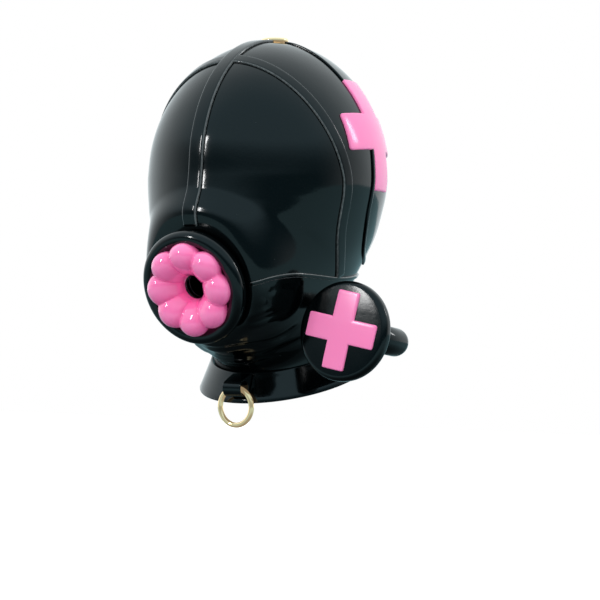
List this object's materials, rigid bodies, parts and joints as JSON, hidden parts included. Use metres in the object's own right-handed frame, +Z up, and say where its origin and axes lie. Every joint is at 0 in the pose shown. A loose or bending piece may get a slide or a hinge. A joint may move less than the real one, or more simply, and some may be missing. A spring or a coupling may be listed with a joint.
{
  "type": "full-head rubber hood with petalled mouth muzzle and plug",
  "caption": "Glossy rubber hood for a whole head, with a round muzzle around a petalled mouth ring, a stopper for it, cross patches, a crown eyelet and a collar with a hanging ring.",
  "frame": {"origin": "inside the crown, under the crown eyelet, where the top of the wearer's head bears", "axes": "+Z up along the standing head, the face and muzzle towards -Y, the wearer's left towards +X"},
  "size_m": [0.2035, 0.205, 0.2735],
  "materials": {
    "black_latex": "glossy",
    "black_rubber": "glossy",
    "pink_rubber": "glossy",
    "gold": "polished"
  },
  "bodies": {
    "hood": {"hood_half_left": "black_latex", "hood_half_right": "black_latex", "crown_eyelet": "gold", "centre_strip": "black_latex", "temple_strip_left": "black_latex", "temple_strip_right": "black_latex", "cross_patch_left": "pink_rubber", "cross_patch_right": "pink_rubber", "back_seam_upper_left": "black_latex", "back_seam_upper_right": "black_latex", "back_seam_lower_left": "black_latex", "back_seam_lower_right": "black_latex", "jaw_seam_left": "black_latex", "jaw_seam_right": "black_latex", "muzzle_rim": "black_rubber", "petal_ring": "pink_rubber", "collar": "black_latex", "throat_tab": "black_latex", "stopper_cap": "black_rubber", "stopper_cross": "pink_rubber", "stopper_stem": "black_rubber"},
    "ring": {"throat_ring": "gold"}
  },
  "joints": [
    {"name": "throat_ring_hinge", "type": "hinge", "parent": "hood", "child": "ring", "pos_m": [0, -0.05039, -0.24154], "axis": [-1, 0, 0], "range_deg": [-8, 125]}
  ]
}
